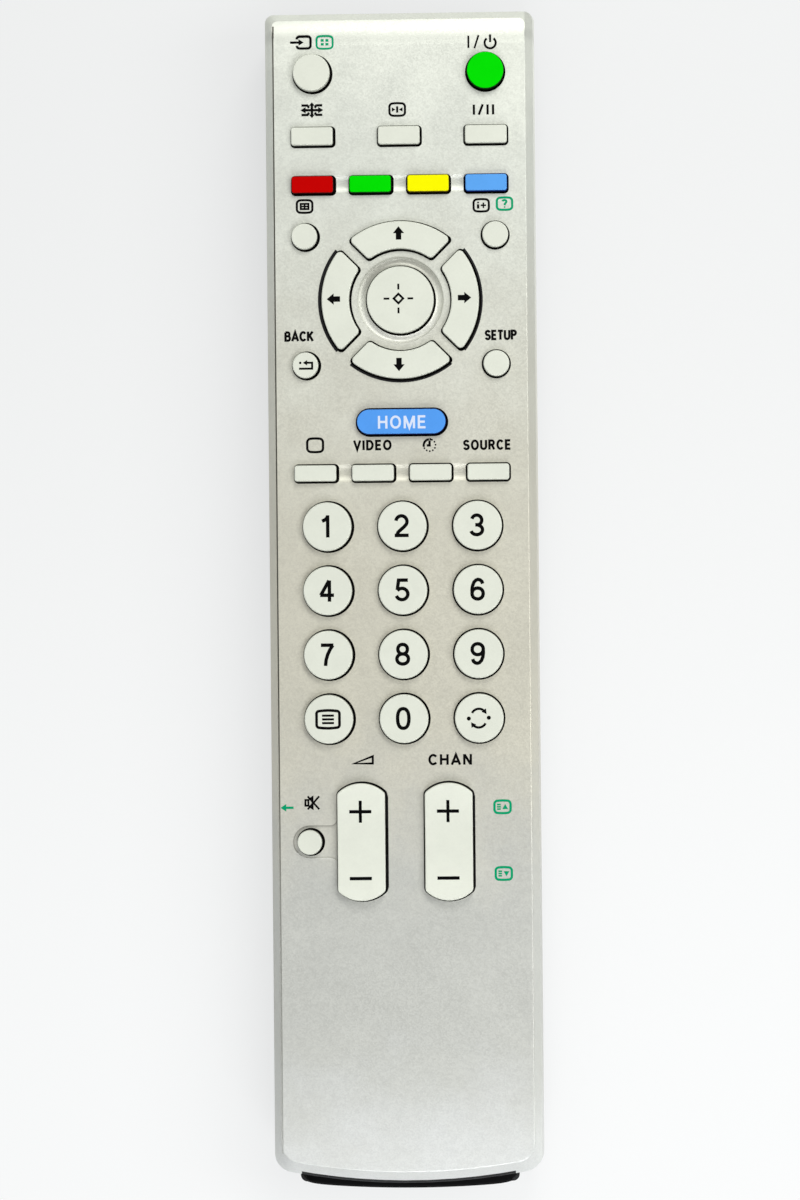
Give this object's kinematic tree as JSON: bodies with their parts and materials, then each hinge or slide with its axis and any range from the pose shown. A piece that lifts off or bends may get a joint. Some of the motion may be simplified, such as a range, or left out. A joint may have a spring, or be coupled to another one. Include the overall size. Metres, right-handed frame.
{
  "type": "tv remote control",
  "caption": "Slim handheld television remote with a silver face, cream rubber-backed keys, a direction ring, two rockers and a sliding battery door.",
  "frame": {"origin": "under the middle of the case, on the surface it lies on", "axes": "+X to the right of the keypad, +Y to the head end that points at the television, +Z out of the face"},
  "size_m": [0.0482, 0.21, 0.0226],
  "materials": {
    "silver_case": "moulded plastic with a satin silver paint",
    "dark_case": "fine-grained moulded plastic",
    "cream_key": "satin moulded plastic",
    "green_key": "satin-gloss moulded plastic",
    "red_key": "satin-gloss moulded plastic",
    "yellow_key": "satin-gloss moulded plastic",
    "blue_key": "satin-gloss moulded plastic",
    "menu_key": "satin-gloss moulded plastic",
    "board": "paper laminate board",
    "mat_rubber": "silicone sheet",
    "carbon": "printed carbon",
    "chip_body": "moulded epoxy",
    "resonator_body": "dipped ceramic",
    "capacitor_sleeve": "sleeved can",
    "led_lens": "clear epoxy",
    "window_plastic": "dark infrared window",
    "cell_sleeve": "printed film over a can",
    "contact_metal": "nickel plate",
    "screw_steel": "zinc plate"
  },
  "bodies": {
    "root": {"top_cover": "silver_case", "bottom_cover": "dark_case", "circuit_board": "board", "keypad_mat": "mat_rubber", "contact_pads": "carbon", "controller_chip": "chip_body", "resonator": "resonator_body", "capacitor": "capacitor_sleeve", "led_transistor": "chip_body", "resistors": "chip_body", "ir_led": "led_lens", "ir_window": "window_plastic", "left_cell": "cell_sleeve", "right_cell": "cell_sleeve", "cell_springs": "contact_metal", "link_contact": "contact_metal", "terminals": "contact_metal", "case_screws": "screw_steel"},
    "battery_door": {"battery_door": "dark_case"},
    "input_key": {"input_key": "cream_key"},
    "power_key": {"power_key": "green_key"},
    "zoom_key": {"zoom_key": "cream_key"},
    "freeze_key": {"freeze_key": "cream_key"},
    "audio_key": {"audio_key": "cream_key"},
    "red_key": {"red_key": "red_key"},
    "green_key": {"green_key": "green_key"},
    "yellow_key": {"yellow_key": "yellow_key"},
    "blue_key": {"blue_key": "blue_key"},
    "guide_key": {"guide_key": "cream_key"},
    "info_key": {"info_key": "cream_key"},
    "back_key": {"back_key": "cream_key"},
    "setup_key": {"setup_key": "cream_key"},
    "enter_key": {"enter_key": "cream_key"},
    "home_key": {"home_key": "menu_key"},
    "screen_key": {"screen_key": "cream_key"},
    "video_key": {"video_key": "cream_key"},
    "timer_key": {"timer_key": "cream_key"},
    "source_key": {"source_key": "cream_key"},
    "digit_1_key": {"digit_1_key": "cream_key"},
    "digit_2_key": {"digit_2_key": "cream_key"},
    "digit_3_key": {"digit_3_key": "cream_key"},
    "digit_4_key": {"digit_4_key": "cream_key"},
    "digit_5_key": {"digit_5_key": "cream_key"},
    "digit_6_key": {"digit_6_key": "cream_key"},
    "digit_7_key": {"digit_7_key": "cream_key"},
    "digit_8_key": {"digit_8_key": "cream_key"},
    "digit_9_key": {"digit_9_key": "cream_key"},
    "text_key": {"text_key": "cream_key"},
    "digit_0_key": {"digit_0_key": "cream_key"},
    "swap_key": {"swap_key": "cream_key"},
    "mute_key": {"mute_key": "cream_key"},
    "right_key": {"right_key": "cream_key"},
    "up_key": {"up_key": "cream_key"},
    "left_key": {"left_key": "cream_key"},
    "down_key": {"down_key": "cream_key"},
    "volume_rocker": {"volume_rocker": "cream_key"},
    "channel_rocker": {"channel_rocker": "cream_key"}
  },
  "joints": [
    {"name": "battery_door_slide", "type": "slide", "parent": "root", "child": "battery_door", "axis": [0, -1, 0], "range_m": [0, 0.06]},
    {"name": "input_key_press", "type": "slide", "parent": "root", "child": "input_key", "axis": [0, 0, -1], "range_m": [0, 0.0008], "stiffness_N_per_m": 600, "springref_m": -0.0003},
    {"name": "power_key_press", "type": "slide", "parent": "root", "child": "power_key", "axis": [0, 0, -1], "range_m": [0, 0.0008], "stiffness_N_per_m": 600, "springref_m": -0.0003},
    {"name": "zoom_key_press", "type": "slide", "parent": "root", "child": "zoom_key", "axis": [0, 0, -1], "range_m": [0, 0.0008], "stiffness_N_per_m": 600, "springref_m": -0.0003},
    {"name": "freeze_key_press", "type": "slide", "parent": "root", "child": "freeze_key", "axis": [0, 0, -1], "range_m": [0, 0.0008], "stiffness_N_per_m": 600, "springref_m": -0.0003},
    {"name": "audio_key_press", "type": "slide", "parent": "root", "child": "audio_key", "axis": [0, 0, -1], "range_m": [0, 0.0008], "stiffness_N_per_m": 600, "springref_m": -0.0003},
    {"name": "red_key_press", "type": "slide", "parent": "root", "child": "red_key", "axis": [0, 0, -1], "range_m": [0, 0.0008], "stiffness_N_per_m": 600, "springref_m": -0.0003},
    {"name": "green_key_press", "type": "slide", "parent": "root", "child": "green_key", "axis": [0, 0, -1], "range_m": [0, 0.0008], "stiffness_N_per_m": 600, "springref_m": -0.0003},
    {"name": "yellow_key_press", "type": "slide", "parent": "root", "child": "yellow_key", "axis": [0, 0, -1], "range_m": [0, 0.0008], "stiffness_N_per_m": 600, "springref_m": -0.0003},
    {"name": "blue_key_press", "type": "slide", "parent": "root", "child": "blue_key", "axis": [0, 0, -1], "range_m": [0, 0.0008], "stiffness_N_per_m": 600, "springref_m": -0.0003},
    {"name": "guide_key_press", "type": "slide", "parent": "root", "child": "guide_key", "axis": [0, 0, -1], "range_m": [0, 0.0008], "stiffness_N_per_m": 600, "springref_m": -0.0003},
    {"name": "info_key_press", "type": "slide", "parent": "root", "child": "info_key", "axis": [0, 0, -1], "range_m": [0, 0.0008], "stiffness_N_per_m": 600, "springref_m": -0.0003},
    {"name": "back_key_press", "type": "slide", "parent": "root", "child": "back_key", "axis": [0, 0, -1], "range_m": [0, 0.0008], "stiffness_N_per_m": 600, "springref_m": -0.0003},
    {"name": "setup_key_press", "type": "slide", "parent": "root", "child": "setup_key", "axis": [0, 0, -1], "range_m": [0, 0.0008], "stiffness_N_per_m": 600, "springref_m": -0.0003},
    {"name": "enter_key_press", "type": "slide", "parent": "root", "child": "enter_key", "axis": [0, 0, -1], "range_m": [0, 0.0008], "stiffness_N_per_m": 600, "springref_m": -0.0003},
    {"name": "home_key_press", "type": "slide", "parent": "root", "child": "home_key", "axis": [0, 0, -1], "range_m": [0, 0.0008], "stiffness_N_per_m": 600, "springref_m": -0.0003},
    {"name": "screen_key_press", "type": "slide", "parent": "root", "child": "screen_key", "axis": [0, 0, -1], "range_m": [0, 0.0008], "stiffness_N_per_m": 600, "springref_m": -0.0003},
    {"name": "video_key_press", "type": "slide", "parent": "root", "child": "video_key", "axis": [0, 0, -1], "range_m": [0, 0.0008], "stiffness_N_per_m": 600, "springref_m": -0.0003},
    {"name": "timer_key_press", "type": "slide", "parent": "root", "child": "timer_key", "axis": [0, 0, -1], "range_m": [0, 0.0008], "stiffness_N_per_m": 600, "springref_m": -0.0003},
    {"name": "source_key_press", "type": "slide", "parent": "root", "child": "source_key", "axis": [0, 0, -1], "range_m": [0, 0.0008], "stiffness_N_per_m": 600, "springref_m": -0.0003},
    {"name": "digit_1_key_press", "type": "slide", "parent": "root", "child": "digit_1_key", "axis": [0, 0, -1], "range_m": [0, 0.0008], "stiffness_N_per_m": 600, "springref_m": -0.0003},
    {"name": "digit_2_key_press", "type": "slide", "parent": "root", "child": "digit_2_key", "axis": [0, 0, -1], "range_m": [0, 0.0008], "stiffness_N_per_m": 600, "springref_m": -0.0003},
    {"name": "digit_3_key_press", "type": "slide", "parent": "root", "child": "digit_3_key", "axis": [0, 0, -1], "range_m": [0, 0.0008], "stiffness_N_per_m": 600, "springref_m": -0.0003},
    {"name": "digit_4_key_press", "type": "slide", "parent": "root", "child": "digit_4_key", "axis": [0, 0, -1], "range_m": [0, 0.0008], "stiffness_N_per_m": 600, "springref_m": -0.0003},
    {"name": "digit_5_key_press", "type": "slide", "parent": "root", "child": "digit_5_key", "axis": [0, 0, -1], "range_m": [0, 0.0008], "stiffness_N_per_m": 600, "springref_m": -0.0003},
    {"name": "digit_6_key_press", "type": "slide", "parent": "root", "child": "digit_6_key", "axis": [0, 0, -1], "range_m": [0, 0.0008], "stiffness_N_per_m": 600, "springref_m": -0.0003},
    {"name": "digit_7_key_press", "type": "slide", "parent": "root", "child": "digit_7_key", "axis": [0, 0, -1], "range_m": [0, 0.0008], "stiffness_N_per_m": 600, "springref_m": -0.0003},
    {"name": "digit_8_key_press", "type": "slide", "parent": "root", "child": "digit_8_key", "axis": [0, 0, -1], "range_m": [0, 0.0008], "stiffness_N_per_m": 600, "springref_m": -0.0003},
    {"name": "digit_9_key_press", "type": "slide", "parent": "root", "child": "digit_9_key", "axis": [0, 0, -1], "range_m": [0, 0.0008], "stiffness_N_per_m": 600, "springref_m": -0.0003},
    {"name": "text_key_press", "type": "slide", "parent": "root", "child": "text_key", "axis": [0, 0, -1], "range_m": [0, 0.0008], "stiffness_N_per_m": 600, "springref_m": -0.0003},
    {"name": "digit_0_key_press", "type": "slide", "parent": "root", "child": "digit_0_key", "axis": [0, 0, -1], "range_m": [0, 0.0008], "stiffness_N_per_m": 600, "springref_m": -0.0003},
    {"name": "swap_key_press", "type": "slide", "parent": "root", "child": "swap_key", "axis": [0, 0, -1], "range_m": [0, 0.0008], "stiffness_N_per_m": 600, "springref_m": -0.0003},
    {"name": "mute_key_press", "type": "slide", "parent": "root", "child": "mute_key", "axis": [0, 0, -1], "range_m": [0, 0.0008], "stiffness_N_per_m": 600, "springref_m": -0.0003},
    {"name": "right_key_press", "type": "slide", "parent": "root", "child": "right_key", "axis": [0, 0, -1], "range_m": [0, 0.0008], "stiffness_N_per_m": 600, "springref_m": -0.0003},
    {"name": "up_key_press", "type": "slide", "parent": "root", "child": "up_key", "axis": [0, 0, -1], "range_m": [0, 0.0008], "stiffness_N_per_m": 600, "springref_m": -0.0003},
    {"name": "left_key_press", "type": "slide", "parent": "root", "child": "left_key", "axis": [0, 0, -1], "range_m": [0, 0.0008], "stiffness_N_per_m": 600, "springref_m": -0.0003},
    {"name": "down_key_press", "type": "slide", "parent": "root", "child": "down_key", "axis": [0, 0, -1], "range_m": [0, 0.0008], "stiffness_N_per_m": 600, "springref_m": -0.0003},
    {"name": "volume_rocker_rock", "type": "hinge", "parent": "root", "child": "volume_rocker", "pos_m": [-0.00774, -0.04265, 0.02015], "axis": [1, 0, 0], "range_deg": [-5, 5], "stiffness_Nm_per_rad": 0.05},
    {"name": "channel_rocker_rock", "type": "hinge", "parent": "root", "child": "channel_rocker", "pos_m": [0.00774, -0.04265, 0.02015], "axis": [1, 0, 0], "range_deg": [-5, 5], "stiffness_Nm_per_rad": 0.05}
  ]
}
